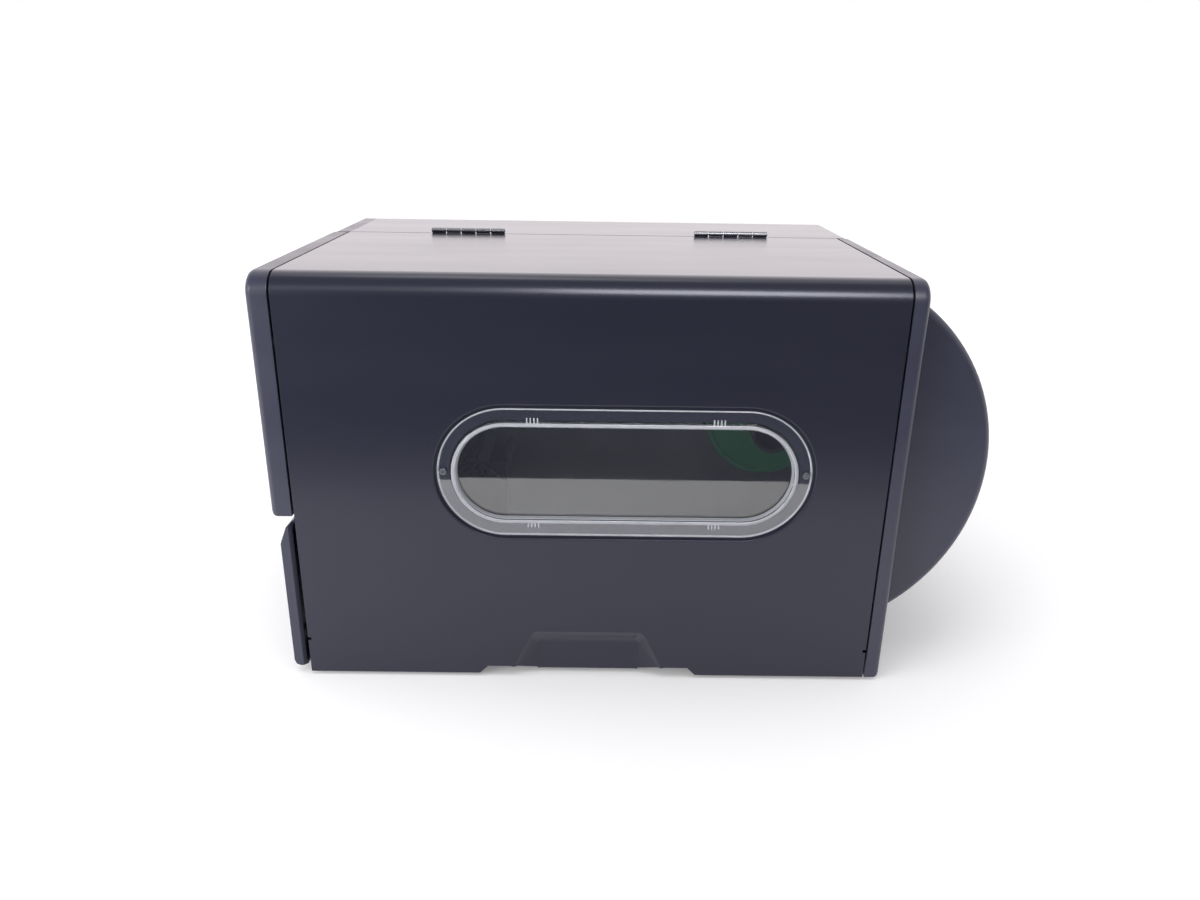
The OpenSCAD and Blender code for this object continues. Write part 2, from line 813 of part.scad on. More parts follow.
module head_carrier() {
    color("slategray")
    difference() {
        union() {
            block([platen_x - 10, ear_y0, carrier_z - carrier_t], [pivot_x, ear_y1, carrier_z]);
            for (y = [ear_y0, ear_y1 - carrier_t])
                along_y(y, y + carrier_t) {
                    translate([platen_x - 19, carrier_z - 18]) square([pivot_x - platen_x + 19, 18]);
                    translate([pivot_x, pivot_z]) circle(d = shaft_d + 10);
                }
        }
        rod_y(ear_y0 - cut, ear_y1 + cut, pivot_x, pivot_z, shaft_d + 2 * run_gap);
    }
}

module thermal_head() {
    y0 = media_y0 - 2;
    y1 = media_y1 - 2;
    color("lightgray")
    difference() {
        union() {
            block([platen_x - 7, y0, label_z + 5], [platen_x + 26, y1, carrier_z - carrier_t]);
            block([platen_x - 5, y0 + 2, label_z + 0.5], [platen_x + 20, y1 - 2, label_z + 5]);
        }
        for (i = [0 : 3])
            block([platen_x + 12, y0 - cut, label_z + 8 + 5 * i],
                [platen_x + 26 + cut, y1 + cut, label_z + 10.5 + 5 * i]);
    }
}

module ribbon_rods() {
    color("silver")
    for (p = [[platen_x - 14.5, carrier_z - 13], [platen_x + 56, carrier_z - 14]])
        rod_y(ear_y0 + carrier_t, ear_y1 - carrier_t, p[0], p[1], 6);
}

// lifting cam: its radius falls away behind the lobe, so the head rises as the lever turns
function cam_points() = [for (a = [0 : 5 : cam_sweep])
    (cam_r - (cam_r - cam_low_r) * a / cam_sweep) * [cos(270 - a), sin(270 - a)]];

module head_lever() {
    lever_y = side_y - 12;
    color("seagreen") {
        rod_y(lever_y, centre_back - apart, latch_x, latch_z, latch_d);
        for (y = [media_y0 + 6, media_y1 - 14])
            along_y(y, y + 6) translate([latch_x, latch_z])
                polygon(concat([[0, 0]], [[3.5, -cam_r + 4]], cam_points()));
        along_y(lever_y, lever_y + 8) translate([latch_x, latch_z]) {
            circle(d = 20);
            rotate(10) {
                translate([0, -6]) square([lever_l - 8, 12]);
                translate([lever_l - 8, 0]) circle(d = 16);
            }
        }
    }
}

module platen_shaft() {
    color("silver") rod_y(side_y - 4, gear_y + gear_t + 1, platen_x, platen_z, shaft_d);
}

module tube_y(y0, y1, x, z, d, bore) {
    difference() {
        rod_y(y0, y1, x, z, d);
        rod_y(y0 - cut, y1 + cut, x, z, bore);
    }
}

module platen_rubber() {
    color("#222222")
    tube_y(media_y0 - 2, media_y1 + 2, platen_x, platen_z, platen_d, shaft_d + 2 * slip);
}

module platen_gear() {
    color("ivory") difference() {
        gear(platen_n, platen_x, platen_z, platen_mesh);
        rod_y(gear_y - cut, gear_y + gear_t + cut, platen_x, platen_z, shaft_d + 2 * slip);
    }
}

// motor pinion with its shaft, a tooth space facing the driven gear
module pinion(x, z, mesh) {
    gear(pinion_n, x, z, mesh + 180 + 180 / pinion_n);
    rod_y(gear_y - 1, motor_y + 8, x, z, pinion_shaft_d);
}

module drive_pinion() {
    color("goldenrod") pinion(drive_x, drive_z, platen_mesh);
}

module ribbon_pinion() {
    color("goldenrod") pinion(feed_x, feed_z, takeup_mesh);
}

module spool(x, z) {
    difference() {
        union() {
            rod_y(media_y0 - 2, media_y1, x, z, core_d);
            rod_y(media_y1 - 1, media_y1 + 2, x, z, core_d + 16);
            rod_y(media_y1 + 2, centre_y - 2, x, z, spool_d + 5);
            rod_y(centre_y - 3, gear_y + gear_t + 1, x, z, spool_d);
        }
        for (a = [75, 195, 315])
            translate([x, 0, z]) rotate([0, a, 0])
                block([core_d / 2 - 2, media_y0 - 3, -1.4], [core_d, media_y1 - 6, 1.4]);
    }
}

module takeup_spindle() {
    color("#3a3a40") spool(takeup_x, takeup_z);
}

module supply_spindle() {
    color("#3a3a40") spool(supply_x, supply_z);
}

module takeup_gear() {
    color("ivory") difference() {
        gear(takeup_n, takeup_x, takeup_z, takeup_mesh);
        rod_y(gear_y - cut, gear_y + gear_t + cut, takeup_x, takeup_z, spool_d + 2 * slip);
    }
}

module supply_brake() {
    color("darkgray") tube_y(gear_y, gear_y + gear_t, supply_x, supply_z, 36, spool_d + 2 * slip);
}

module roll_spindle() {
    color("#303036") difference() {
        union() {
            rod_y(centre_y - 6, centre_y, hub_x, hub_z, 110);
            rod_y(side_y + 30, centre_y, hub_x, hub_z, spindle_d);
        }
        rod_y(side_y + 29, centre_y - 12, hub_x, hub_z, spindle_d - 6);
    }
}

module roll_retainer() {
    color("#1f8a4c") difference() {
        union() {
            rod_y(retainer_y, retainer_y + 4, hub_x, hub_z, retainer_d);
            rod_y(retainer_y - 14, retainer_y + 4, hub_x, hub_z, spindle_d + 12);
        }
        rod_y(retainer_y - 15, retainer_y + 5, hub_x, hub_z, spindle_d + 2 * run_gap);
        difference() {
            rod_y(retainer_y - cut, retainer_y + 1.2, hub_x, hub_z, retainer_d - 8);
            rod_y(retainer_y - 2, retainer_y + 2, hub_x, hub_z, spindle_d + 11);
        }
    }
}

module media_guide() {
    y0 = media_y0 - 3;
    color("#1d1d20") difference() {
        union() {
            block([rail_x - 8, y0 - 4, rail_z - 8], [rail_x + 8, y0 + 10, rail_z + 8]);
            block([rail_x - 8, y0, rail_z], [rail_x + 8, y0 + 4, deck_z + 14]);
            block([rail_x - 70, y0, deck_z + 0.5], [rail_x + 8, y0 + 4, deck_z + 14]);
        }
        rod_y(y0 - 5, y0 + 11, rail_x, rail_z, rod_d + 2 * run_gap);
    }
}

// electronics side

module motor_bracket() {
    x0 = platen_x - 17;
    x1 = platen_x + 90;
    z0 = label_z - 62;
    z1 = takeup_z + 8;
    color("lightslategray") {
        difference() {
            block([x0, bracket_y, z0], [x1, motor_y, z1]);
            rod_y(bracket_y - cut, motor_y + cut, drive_x, drive_z, 39);
            rod_y(bracket_y - cut, motor_y + cut, feed_x, feed_z, 13);
        }
        for (p = [[x0 + 8, z0 + 8], [x1 - 8, z0 + 8], [x0 + 8, label_z + 48], [x1 - 8, z1 - 8]])
            rod_y(centre_back, bracket_y + cut, p[0], p[1], 9);
    }
}

module drive_motor() {
    half = 28.2;
    color("#33343a") difference() {
        union() {
            along_y(motor_y, motor_y + 52) translate([drive_x, drive_z])
                polygon([[-half + 6, -half], [half - 6, -half], [half, -half + 6], [half, half - 6],
                    [half - 6, half], [-half + 6, half], [-half, half - 6], [-half, -half + 6]]);
            rod_y(motor_y - 1.5, motor_y + cut, drive_x, drive_z, 38);
        }
        rod_y(motor_y - 2, motor_y + 10, drive_x, drive_z, pinion_shaft_d + 2 * run_gap);
    }
}

module ribbon_motor() {
    color("silver") difference() {
        union() {
            rod_y(motor_y, motor_y + 46, feed_x, feed_z, 36);
            rod_y(motor_y - 1.5, motor_y + cut, feed_x, feed_z, 12);
        }
        rod_y(motor_y - 2, motor_y + 10, feed_x, feed_z, pinion_shaft_d + 2 * run_gap);
    }
}

module main_board() {
    x0 = port_x1 - board_l;
    x1 = port_x0 + 6;
    z0 = board_z0;
    z1 = board_z0 + board_h;
    color("darkgreen") {
        block([x0, board_y, z0], [x1, board_face, z1]);
        for (x = [x0 + 10, x1 - 10], z = [z0 + 10, z1 - 10])
            rod_y(centre_back, board_y + 0.5, x, z, 7);
        block([x0 + 60, board_face - 0.5, z0 + 40], [x0 + 96, board_face + 3, z0 + 76]);
        block([x0 + 120, board_face - 0.5, z0 + 30], [x0 + 136, board_face + 2, z0 + 70]);
        for (i = [0 : 3])
            rod_y(board_face - 0.5, board_face + 16, x0 + 30 + 18 * i, z1 - 26, 12);
    }
}

module power_supply() {
    x0 = -60;
    x1 = x0 + supply_l;
    z1 = pan_z + supply_h;
    wall = 2;
    color("silver") difference() {
        block([x0, supply_y0, pan_z], [x1, supply_y1, z1]);
        block([x0 + wall, supply_y0 + wall, pan_z + wall], [x1 - wall, supply_y1 - wall, z1 - wall]);
        for (i = [0 : 11])
            block([x0 + 20 + 11 * i, supply_y1 - 2 * wall, pan_z + 24],
                [x0 + 25 + 11 * i, supply_y1 + cut, z1 - 22]);
    }
}

module port_shell(y1, z, half_h, hole_y, hole_h, depth) {
    difference() {
        block([port_x0, board_face, z - half_h], [port_x1, y1, z + half_h]);
        block([port_x1 - depth, (board_face + y1) / 2 - hole_y / 2, z - hole_h / 2],
            [port_x1 + cut, (board_face + y1) / 2 + hole_y / 2, z + hole_h / 2]);
    }
}

module usb_socket() {
    color("silver") {
        port_shell(board_face + 11, usb_z, 6, 8, 8.6, 12);
        block([port_x1 - 12.5, board_face + 4, usb_z - 2.8],
            [port_x1 - 5, board_face + 5.4, usb_z + 2.8]);
    }
}

module network_socket() {
    color("silver") port_shell(board_face + 13.5, network_z, 8, 9, 12, 13);
}

module serial_port() {
    mid = board_face + 6.25;
    color("silver") {
        port_shell(board_face + 12.5, serial_z, 16, 8.5, 17.5, 6);
        for (row = [0, 1], i = [0 : 4 - row])
            rod_x(port_x1 - 6.5, port_x1 - 1,
                mid - 1.4 + 2.8 * row, serial_z - 5.5 + 2.76 * i + 1.38 * row, 1);
    }
}

module power_inlet() {
    x = cover_x1;
    y = inlet_y;
    z = inlet_z;
    color("#1d1d20") {
        difference() {
            union() {
                block([x, y - 17, z - 13], [x + 3, y + 17, z + 13]);
                block([x - 22, y - 14, z - 10], [x + 1, y + 14, z + 10]);
            }
            block([x - 14, y - 12, z - 8], [x + 4, y + 12, z + 8]);
        }
        for (p = [[-7, -2], [0, 3], [7, -2]])
            block([x - 15, y + p[0] - 1, z + p[1] - 2], [x - 2, y + p[0] + 1, z + p[1] + 2]);
    }
}

module switch_body() {
    x = cover_x1;
    y = inlet_y;
    z = switch_z;
    color("#1d1d20") difference() {
        union() {
            block([x, y - 17, z - 14], [x + 2, y + 17, z + 14]);
            block([x - 18, y - 14, z - 11], [x + 1, y + 14, z + 11]);
        }
        block([x - 12, y - 12.5, z - 9.5], [x + 3, y + 12.5, z + 9.5]);
        translate([x - rocker_in, y, z])
            cylinder(h = 24, d = rocker_pin_d + 2 * run_gap, center = true);
    }
}

module power_rocker() {
    color("#18181b")
    translate([cover_x1 - rocker_in, inlet_y, switch_z]) rotate([0, 0, -rocker_tilt]) {
        linear_extrude(18, center = true)
            polygon([[-4, -3], [-4, 3], [2, 11.2], [7, 11.2], [5, 0], [7, -11.2], [2, -11.2]]);
        cylinder(h = 21, d = rocker_pin_d, center = true);
    }
}

place() base_pan();
place() rubber_feet();
place() centre_plate();
place() electronics_cover();
place() cover_screws();
place() rear_panel();
place() control_panel();
place() display_window();
place() status_lights();
place() lower_front_panel();
place() hinge_fixed_leaves();
place() hinge_pins();
place() tear_bar();
place() side_plate();
place() tie_rods();
place() media_deck();
place() platen_bearings();
place() spindle_bearings();
place() guide_rail();
place() head_pivot_shaft();
place() roll_spindle();
place() motor_bracket();
place() drive_motor();
place() ribbon_motor();
place() main_board();
place() power_supply();
place() power_inlet();
place() switch_body();
place() usb_socket();
place() network_socket();
place() serial_port();
place() door_panel();
place() window_lens();
place() window_screws();
place() door_front_cap();
place() door_rear_cap();
place() roll_hood();
place() hinge_door_leaves();
place() head_carrier();
place() thermal_head();
place() ribbon_rods();
place() head_lever();
place() platen_shaft();
place() platen_rubber();
place() platen_gear();
place() drive_pinion();
place() takeup_spindle();
place() takeup_gear();
place() ribbon_pinion();
place() supply_spindle();
place() supply_brake();
place() roll_retainer();
place() media_guide();
place() key_cap(0);  // key_1
place() key_cap(1);  // key_2
place() key_cap(2);  // key_3
place() key_cap(3);  // key_4
place() power_rocker();
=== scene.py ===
# %% [markdown]
# # Dressing a label printer
# The printer's solids come packed and fixed in place. This lesson gives them the finishes of the real
# machine, rounds the hard edges as a press or a mould would, adds the small fasteners, and sets up the
# camera and the light. First the imported model is loaded.

# %% Load the imported printer
import json
import math

import bpy
from mathutils import Matrix, Vector


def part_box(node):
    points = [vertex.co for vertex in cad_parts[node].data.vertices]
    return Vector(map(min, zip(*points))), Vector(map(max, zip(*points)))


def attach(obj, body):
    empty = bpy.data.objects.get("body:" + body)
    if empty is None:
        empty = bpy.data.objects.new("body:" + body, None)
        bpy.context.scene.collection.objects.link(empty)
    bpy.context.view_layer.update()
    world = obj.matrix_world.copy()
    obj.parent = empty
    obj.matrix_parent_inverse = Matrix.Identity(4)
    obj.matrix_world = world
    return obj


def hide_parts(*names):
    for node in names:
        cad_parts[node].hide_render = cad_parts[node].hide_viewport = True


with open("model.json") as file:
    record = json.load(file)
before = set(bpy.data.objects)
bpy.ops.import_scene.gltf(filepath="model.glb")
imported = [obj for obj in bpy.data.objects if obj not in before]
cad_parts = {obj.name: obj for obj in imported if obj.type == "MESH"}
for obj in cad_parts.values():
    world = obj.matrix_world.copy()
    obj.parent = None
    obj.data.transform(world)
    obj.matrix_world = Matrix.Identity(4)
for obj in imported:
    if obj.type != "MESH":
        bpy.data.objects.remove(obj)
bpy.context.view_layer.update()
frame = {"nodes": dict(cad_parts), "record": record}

nodes = frame["nodes"]
slot_of = {part["node"]: part["material_slot"] for part in frame["record"]["subparts"]}
body_of = {n: body for body, group in frame["record"]["behaviour"]["bodies"].items() for n in group}

# %% [markdown]
# The door is the face that the picture shows, so places are easiest to give from it: millimetres
# along the door from its middle, back from its face and up from the floor. One function turns such
# a place into the frame's metres. The window is a stadium, two half circles joined by straights, and
# a second function tells how far a place stands from its outline.

# %% Measure from the door
MM = 0.001

door_low, door_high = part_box("door_panel")
door_middle = (door_low.x + door_high.x) / 2


def spot(x, y, z):
    """A place in millimetres from the door's middle, its face and the floor, in metres."""
    return Vector((door_middle + x * MM, door_low.y + y * MM, z * MM))


lens_low, lens_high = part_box("window_lens")
lens_mid = (lens_low + lens_high) / 2
lens_r = (lens_high.z - lens_low.z) / 2
straight = (lens_high.x - lens_low.x) / 2 - lens_r


def off_window(place):
    """How far a place stands outside the window's outline, along the door."""
    return math.hypot(max(abs(place.x - lens_mid.x) - straight, 0.0), place.z - lens_mid.z) - lens_r


print("door", [round(side / MM) for side in door_high - door_low], "mm")
print("window", [round(side / MM) for side in lens_high - lens_low], "mm")

# %% [markdown]
# ## Camera
# The picture was taken from a little above the door's top edge, close to the door's middle, with a
# wide lens. Its focal length in pixels, its tilt and a small roll were found by fitting the case's
# corners. The camera's three axes are built from those angles and set as one matrix.

# %% Camera
PICTURE_W = 1200
SENSOR_W = 36.0
FOCAL_PX = 906.325
CAMERA_AT = (3.63, -620.97, 429.436)
PITCH, YAW, ROLL = (math.radians(a) for a in (20.592, 0.348, 0.848))
CLIP_START = 0.01

forward = Vector((math.sin(YAW) * math.cos(PITCH), math.cos(YAW) * math.cos(PITCH), -math.sin(PITCH)))
level = Vector((math.cos(YAW), -math.sin(YAW), 0))
upright = level.cross(forward)
right = level * math.cos(ROLL) + upright * math.sin(ROLL)
up = upright * math.cos(ROLL) - level * math.sin(ROLL)

bpy.ops.object.select_all(action="DESELECT")
bpy.ops.object.camera_add()
camera = bpy.context.object
camera.data.sensor_width = SENSOR_W
camera.data.lens = FOCAL_PX * SENSOR_W / PICTURE_W
camera.data.clip_start = CLIP_START
turn = Matrix((right, up, -forward)).transposed().to_4x4()
camera.matrix_world = Matrix.Translation(spot(*CAMERA_AT)) @ turn
bpy.context.scene.camera = camera
print("lens", round(camera.data.lens, 2), "mm")

# %% [markdown]
# ## Node helpers
# Colours are written as they look on a screen, in sRGB hex, and Blender's shaders work in linear
# light, so one function converts them. A second adds any node with its settings and links.

# %% Colours and nodes


def linear(code):
    """An sRGB hex colour as linear red, green, blue and alpha."""
    parts = [int(code[i:i + 2], 16) / 255 for i in (1, 3, 5)]
    return tuple(c / 12.92 if c <= 0.04045 else ((c + 0.055) / 1.055) ** 2.4 for c in parts) + (1.0,)


def add(tree, kind, inputs=None, **settings):
    """Adds one node, sets its properties, and fills or links its inputs."""
    node = tree.nodes.new("ShaderNode" + kind)
    for name, value in settings.items():
        setattr(node, name, value)
    for socket, value in (inputs or {}).items():
        if isinstance(value, bpy.types.NodeSocket):
            tree.links.new(value, node.inputs[socket])
        else:
            node.inputs[socket].default_value = value
    return node


print("middle grey is", round(linear("#808080")[0], 3), "in linear light")

# %% [markdown]
# A material starts from the Principled shader and the object's own coordinates, in metres. A pattern
# of a given width in millimetres then needs a texture scale of 1000 over that width. Most finishes
# vary a little in tint and in gloss along the same pattern, so one function lays both.

# %% Starting a finish


def start(name, **sockets):
    """A material with its shader's constants set: the material, its tree, shader and coordinates."""
    material = bpy.data.materials.new(name)
    material.use_nodes = True
    tree = material.node_tree
    shader = tree.nodes["Principled BSDF"]
    for socket, value in sockets.items():
        shader.inputs[socket.replace("_", " ")].default_value = value
    return material, tree, shader, add(tree, "TexCoord").outputs["Object"]


def per_mm(width):
    """The texture scale that makes a pattern this many millimetres wide."""
    return 1000 / width


def vary(tree, shader, tone, tints, pattern, gloss, span=(0.0, 1.0)):
    """Runs the colour between two tints by a tone, and the roughness by how far a pattern is in a span."""
    tint = add(tree, "Mix", {0: tone, 6: linear(tints[0]), 7: linear(tints[1])}, data_type="RGBA")
    rough = add(tree, "MapRange", {"Value": pattern, "From Min": span[0], "From Max": span[1],
                                   "To Min": gloss[0], "To Max": gloss[1]})
    tree.links.new(tint.outputs[2], shader.inputs["Base Color"])
    tree.links.new(rough.outputs["Result"], shader.inputs["Roughness"])


finishes = {}
print("a pattern 2 mm wide has a scale of", per_mm(2))

# %% [markdown]
# ## Studio
# The printer stands on a plain white floor that runs into a white background. The floor is lit like
# anything else, so it keeps the printer's shadow, and a little light of its own lifts it to white
# where the camera, a reflection or a pane sees it. The lift is weaker under the printer, where the
# shadow lies, and grows outwards until no horizon is left.

# %% Floor
FLOOR_W = 9.0
NEAR, NEAR_LIFT = 0.12, 0.12
FAR, FAR_LIFT = 0.7, 0.42


def when_seen(tree):
    """1 where the camera, a reflection or a pane looks, and 0 for a ray that only carries light."""
    rays = add(tree, "LightPath").outputs
    seen = add(tree, "Math", {0: rays["Is Camera Ray"], 1: rays["Is Glossy Ray"]}, operation="ADD")
    seen = add(tree, "Math", {0: seen.outputs[0], 1: rays["Is Transmission Ray"]}, operation="ADD",
               use_clamp=True)
    return seen.outputs[0]


bpy.ops.object.select_all(action="DESELECT")
bpy.ops.mesh.primitive_plane_add(size=FLOOR_W, location=(0, 0, 0))
floor = bpy.context.object
floor.name = "studio_floor"

floor_paper = bpy.data.materials.new("white studio paper")
floor_paper.use_nodes = True
paper = floor_paper.node_tree
reach = add(paper, "VectorMath", {0: add(paper, "TexCoord").outputs["Object"]}, operation="LENGTH")
level_up = add(paper, "MapRange", {"Value": reach.outputs["Value"], "From Min": NEAR, "From Max": FAR,
                                   "To Min": NEAR_LIFT, "To Max": FAR_LIFT})
lift = add(paper, "Math", {0: when_seen(paper), 1: level_up.outputs["Result"]}, operation="MULTIPLY")
matt = add(paper, "BsdfDiffuse", {"Color": linear("#ededee")})
glow = add(paper, "Emission", {"Color": linear("#ffffff"), "Strength": lift.outputs[0]})
both = add(paper, "AddShader", {0: matt.outputs[0], 1: glow.outputs[0]})
paper.links.new(both.outputs[0], paper.nodes["Material Output"].inputs["Surface"])
floor.data.materials.append(floor_paper)
print("white floor", FLOOR_W, "m")

# %% [markdown]
# The world does the same as the floor: it is white where it is seen, and a plain level where it
# lights. A shader mix switches between the two by the kind of ray.

# %% World
AMBIENT = 0.8

world = bpy.data.worlds.new("white studio")
bpy.context.scene.world = world
world.use_nodes = True
sky = world.node_tree
lighting = sky.nodes["Background"]
lighting.inputs["Color"].default_value = linear("#f6f4f6")
lighting.inputs["Strength"].default_value = AMBIENT
backdrop = add(sky, "Background", {"Color": linear("#ffffff"), "Strength": 1.0})
choice = add(sky, "MixShader", {0: when_seen(sky), 1: lighting.outputs[0], 2: backdrop.outputs[0]})
sky.links.new(choice.outputs[0], sky.nodes["World Output"].inputs["Surface"])
print("world lights at", AMBIENT)

# %% [markdown]
# A black machine is drawn by what it mirrors. Between white floor and white sky it would look grey all
# over, so a photographer uses dark cards. One stands a little way in front of the door, which leaves
# the door darkest above and greyer below, with the floor's white only in the window's lower part. One
# hangs overhead, so that the rounded top edge stays dark too. They show in reflections alone, so they
# neither block the camera nor take light away.

# %% Dark cards
CARD_AHEAD, CARD_W, CARD_H = 410, 3200, 500
HANG_Z, HANG_FRONT, HANG_BACK = 1010, -700, 110


def card(name, tone, width, height, tilt, place):
    """A card of one tone, in millimetres, turned about X by an angle, that only reflections see."""
    bpy.ops.object.select_all(action="DESELECT")
    bpy.ops.mesh.primitive_plane_add(size=MM)
    made = bpy.context.object
    made.name = name
    made.data.transform(Matrix.Diagonal((width, height, 1, 1)))
    made.data.transform(Matrix.Rotation(math.radians(tilt), 4, "X"))
    made.data.transform(Matrix.Translation(spot(*place)))
    for kind in ("camera", "diffuse", "shadow", "volume_scatter"):
        setattr(made, "visible_" + kind, False)
    paper = bpy.data.materials.new(name + " paper")
    paper.use_nodes = True
    dim = add(paper.node_tree, "Emission", {"Color": linear(tone), "Strength": 1.0})
    paper.node_tree.links.new(dim.outputs[0], paper.node_tree.nodes["Material Output"].inputs["Surface"])
    made.data.materials.append(paper)


card("front_card", "#6a6c7a", CARD_W, CARD_H, 90, (0, -CARD_AHEAD, CARD_H / 2))
card("hanging_card", "#8c8e9c", CARD_W, HANG_BACK - HANG_FRONT, 0,
     (0, (HANG_FRONT + HANG_BACK) / 2, HANG_Z))
print("cards", CARD_AHEAD, "mm in front of the door and", HANG_Z, "mm up")

# %% [markdown]
# The light is soft. A wide lamp hangs overhead, and a stronger one stands further off at the front
# left, so that the end strip doesn't go black. Two more lamps are there for reflections alone: a tall,
# wide one behind brightens the top, which is seen at a low angle, and one in the gap between the two
# cards draws the highlight along the rounded top edge.

# %% Lamps


def lamp(name, place, aim, width, depth, watts, tone="#ffffff", glint=False):
    """A soft lamp at one place that faces another, both in millimetres from the door.

    A lamp set to glint shows in reflections and lights nothing else.
    """
    bpy.ops.object.select_all(action="DESELECT")
    bpy.ops.object.light_add(type="AREA")
    made = bpy.context.object
    made.name = name
    made.visible_camera = False
    made.visible_diffuse = not glint
    made.data.energy = watts
    made.data.color = linear(tone)[:3]
    made.data.shape = "RECTANGLE"
    made.data.size = width * MM
    made.data.size_y = depth * MM
    made.location = spot(*place)
    made.rotation_euler = (spot(*aim) - spot(*place)).to_track_quat("-Z", "Y").to_euler()
    print(name, watts, "W,", width, "x", depth, "mm")


lamp("overhead_lamp", place=(-150, -120, 1500), aim=(0, 120, 150), width=1100, depth=1100, watts=7)
lamp("front_left_lamp", place=(-1250, -900, 480), aim=(-60, 100, 150), width=900, depth=900, watts=15)
lamp("back_lamp", place=(0, 1800, 1150), aim=(0, 150, 320), width=3000, depth=1700, watts=10.4,
     tone="#fbe9ee", glint=True)
lamp("tube_lamp", place=(350, -1500, 1371), aim=(120, 0, 320), width=900, depth=640, watts=22, glint=True)

# %% [markdown]
# ## Finishes of the case
# The door and the far cover are steel sheet with a black powder coat. Powder melts and flows in the
# oven, which leaves a faint orange peel about a millimetre and a half across. The coat is satin, a
# little blue, and wiped along its length: cloth marks change its gloss in streaks as wide as fingers.
# The clear resin that rises to the top of the melt is drawn as a coat layer over the pigment.

# %% Powder-coated steel
PEEL, WIPE = 1.5, 40

coat, tree, shader, place = start("black powder-coated steel", IOR=1.5, Specular_Tint=linear("#cdcde6"),
                                  Coat_Weight=0.4, Coat_Roughness=0.2, Coat_IOR=1.5)
along = add(tree, "Mapping", {"Vector": place, "Scale": (0.2, 1.0, 1.0)})
wipe = add(tree, "TexNoise", {"Vector": along.outputs["Vector"], "Scale": per_mm(WIPE), "Detail": 4.0})
vary(tree, shader, wipe.outputs["Fac"], ("#1e1f2b", "#232430"), wipe.outputs["Fac"], (0.26, 0.36))
peel = add(tree, "TexNoise", {"Vector": place, "Scale": per_mm(PEEL), "Detail": 1.0})
skin = add(tree, "Bump", {"Height": peel.outputs["Fac"], "Strength": 0.12, "Distance": 0.05 * MM})
tree.links.new(skin.outputs["Normal"], shader.inputs["Normal"])
finishes["satin_black_paint"] = coat
print(coat.name)

# %% [markdown]
# The end strips, the hood and the front panels are moulded ABS. The mould's spark-eroded walls leave
# a fine grain about half a millimetre across, drawn here at twice that so that it shows. It is
# greyer and flatter than the paint, and a shade bluer. The other mouldings are made in the same way
# and differ in tint and gloss, which change slowly in clouds as the melt cooled.

# %% Moulded plastics
GRAIN, CLOUD = 0.9, 35
MIDDLE_SPAN = (0.3, 0.7)

# name, two tints, and the least and most roughness
plastics = {
    "dark_grey_plastic": ("dark grey ABS, spark-eroded", ("#313244", "#37384a"), (0.31, 0.39)),
    "black_plastic": ("black glass-filled nylon, moulded", ("#17171a", "#1d1d20"), (0.45, 0.55)),
    "grey_key": ("grey ABS key caps, moulded", ("#8d8f96", "#97999f"), (0.42, 0.5)),
    "green_plastic": ("green acetal, moulded", ("#1a5c38", "#20673f"), (0.34, 0.42)),
    "nylon": ("natural nylon gears, moulded", ("#d8d3c4", "#e2ddd0"), (0.38, 0.46)),
}
for slot, (name, tints, gloss) in plastics.items():
    made, tree, shader, place = start(name, IOR=1.53)
    cloud = add(tree, "TexNoise", {"Vector": place, "Scale": per_mm(CLOUD), "Detail": 2.0})
    vary(tree, shader, cloud.outputs["Fac"], tints, cloud.outputs["Fac"], gloss, MIDDLE_SPAN)
    grain = add(tree, "TexNoise", {"Vector": place, "Scale": per_mm(GRAIN), "Detail": 2.0})
    skin = add(tree, "Bump", {"Height": grain.outputs["Fac"], "Strength": 0.2, "Distance": 0.06 * MM})
    tree.links.new(skin.outputs["Normal"], shader.inputs["Normal"])
    finishes[slot] = made
print(len(plastics), "moulded plastics")

# %% [markdown]
# The window is clear polycarbonate, polished in the mould and dipped in a hard lacquer. What tells it
# from air is its bright rim, its ridge and a few fine rubbing marks, so its gloss is broken by long
# thin streaks.

# %% Clear polycarbonate
PC_IOR = 1.585
RUB = 3

clear, tree, shader, place = start("clear polycarbonate, hard-coated", IOR=PC_IOR, Transmission_Weight=1.0,
                                   Coat_Weight=0.8, Coat_Roughness=0.02, Coat_IOR=1.5)
shader.inputs["Base Color"].default_value = linear("#f3f5f7")
stretch = add(tree, "Mapping", {"Vector": place, "Scale": (0.15, 1.0, 1.0)})
rub = add(tree, "TexNoise", {"Vector": stretch.outputs["Vector"], "Scale": per_mm(RUB), "Detail": 4.0})
haze = add(tree, "MapRange", {"Value": rub.outputs["Fac"], "From Min": 0.55, "From Max": 0.85,
                              "To Min": 0.015, "To Max": 0.09})
tree.links.new(haze.outputs["Result"], shader.inputs["Roughness"])
finishes["clear_plastic"] = clear
print(clear.name)

# %% [markdown]
# A clear sheet gathers light all over and lets it out at its edges, so its rim looks nearly white. That
# light is painted: the rim is the same plastic with only part of its light passing through, and a
# near-white colour stands for the light it gives out. The short wall beside the pane lets no light
# through and is satin and light grey, a painted highlight along the wall.

# %% Painted bright rim and painted highlight on the wall
PAINTED_GLINT, WALL_TONE = 14, 6

# The rim's near-white tints and the wall's light grey are painted highlights.
# slot, name, share of light let through, width of the pattern, two tints, least and most roughness
edges = (
    ("rim_painted_bright", "clear polycarbonate, rim painted near-white", 0.45, PAINTED_GLINT, ("#b9bcc4", "#e2e4ea"), (0.06, 0.16)),
    ("wall_painted_highlight", "polycarbonate wall, painted light grey highlight", 0.0, WALL_TONE, ("#94979e", "#a3a6ad"), (0.3, 0.4)),
)
for slot, name, through, width, tints, gloss in edges:
    made, tree, shader, place = start(name, IOR=PC_IOR, Transmission_Weight=through)
    spread = add(tree, "TexNoise", {"Vector": place, "Scale": per_mm(width), "Detail": 2.0})
    vary(tree, shader, spread.outputs["Fac"], tints, spread.outputs["Fac"], gloss)
    finishes[slot] = made
    print(made.name)

